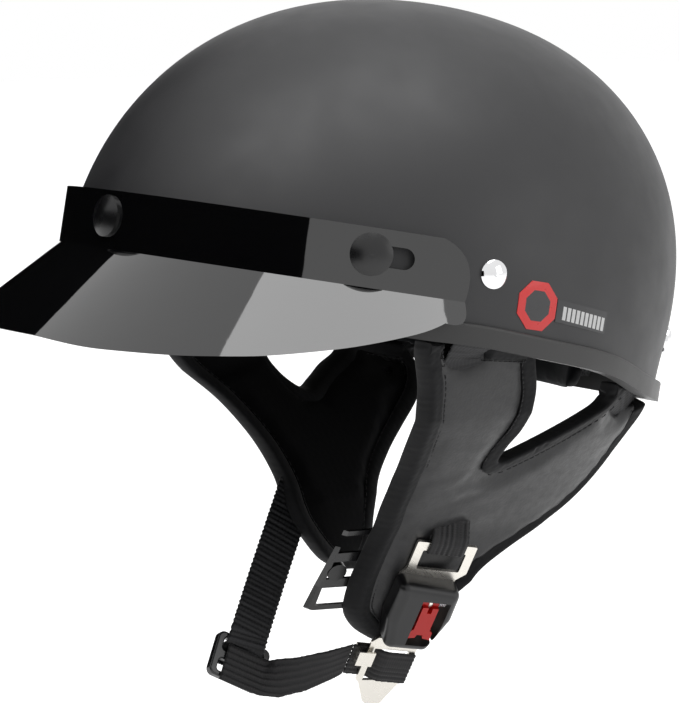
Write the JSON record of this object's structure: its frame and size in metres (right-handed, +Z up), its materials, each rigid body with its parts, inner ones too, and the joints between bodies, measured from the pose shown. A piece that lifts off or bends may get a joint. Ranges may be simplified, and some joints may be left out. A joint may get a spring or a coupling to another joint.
{
  "type": "half shell motorcycle helmet",
  "caption": "Half shell motorcycle helmet with a snap-off visor, padded ear pads, and a quick-release chin strap buckle.",
  "frame": {"origin": "centre of the shell's equator plane, where the wearer's head sits", "axes": "+X to the wearer's left, -Y forwards, +Z up"},
  "size_m": [0.2518, 0.3356, 0.3197],
  "materials": {
    "shell_gloss_black": "gloss",
    "visor_gloss_black": "gloss",
    "edge_rubber": "satin",
    "impact_foam": "matte",
    "lining_fabric": "matte",
    "pad_leather": "satin",
    "pad_foam": "matte",
    "binding_tape": "matte",
    "webbing": "matte",
    "snap_black": "satin",
    "bright_steel": "polished",
    "washer_steel": "satin",
    "housing_plastic": "satin",
    "slide_plastic": "gloss",
    "lever_red": "satin",
    "sticker_red": "gloss",
    "label_black": "gloss"
  },
  "bodies": {
    "helmet": {"outer_shell": "shell_gloss_black", "edge_trim": "edge_rubber", "eps_liner": "impact_foam", "comfort_liner": "lining_fabric", "crown_pad": "lining_fabric", "brow_pad": "lining_fabric", "nape_pad": "lining_fabric", "left_side_pad": "lining_fabric", "right_side_pad": "lining_fabric", "shell_snap_studs": "washer_steel", "snap_stud_washers": "washer_steel", "front_strap_rivets": "bright_steel", "rear_strap_rivets": "bright_steel", "strap_rivet_washers": "washer_steel", "left_front_strap": "webbing", "right_front_strap": "webbing", "left_rear_strap": "webbing", "right_rear_strap": "webbing", "left_pad_cover": "pad_leather", "left_pad_foam": "pad_foam", "left_pad_binding": "binding_tape", "right_pad_cover": "pad_leather", "right_pad_foam": "pad_foam", "right_pad_binding": "binding_tape", "buckle_web_loop": "webbing", "buckle_frame": "bright_steel", "buckle_back": "housing_plastic", "buckle_housing": "housing_plastic", "buckle_rivets": "washer_steel", "lever_pin": "washer_steel", "lever_spring": "bright_steel", "chin_strap_run": "webbing", "right_chin_strap": "webbing", "strap_slide": "slide_plastic", "strap_divider": "slide_plastic", "divider_rivet": "slide_plastic", "size_sticker": "sticker_red", "material_label": "label_black"},
    "visor_body": {"visor": "visor_gloss_black", "visor_snap_caps": "snap_black", "visor_snap_sockets": "washer_steel"},
    "tongue_body": {"tongue_plate": "bright_steel", "tongue_keeper": "bright_steel", "tongue_webbing": "webbing"},
    "lever_body": {"release_lever": "lever_red"},
    "pawl_body": {"latch_pawl": "bright_steel"}
  },
  "joints": [
    {"name": "visor_pull", "type": "slide", "parent": "helmet", "child": "visor_body", "axis": [0, -0.982, 0.1891], "range_m": [0, 0.035]},
    {"name": "tongue_pull", "type": "slide", "parent": "helmet", "child": "tongue_body", "axis": [-0.5103, 0.0125, -0.8599], "range_m": [0, 0.02]},
    {"name": "lever_swing", "type": "hinge", "parent": "helmet", "child": "lever_body", "pos_m": [0.04147, -0.00519, -0.1353], "axis": [-0.3156, -0.9329, 0.1737], "range_deg": [0, 28.1], "stiffness_Nm_per_rad": 0.03, "springref_deg": -17.19},
    {"name": "pawl_swing", "type": "hinge", "parent": "helmet", "child": "pawl_body", "pos_m": [0.04147, -0.00519, -0.1353], "axis": [-0.3156, -0.9329, 0.1737], "range_deg": [0, 22.5]}
  ],
  "couplings": [
    {"joint": "lever_swing", "follows": "tongue_pull", "rad_per_m": 24.435},
    {"joint": "pawl_swing", "follows": "tongue_pull", "rad_per_m": 19.548}
  ]
}
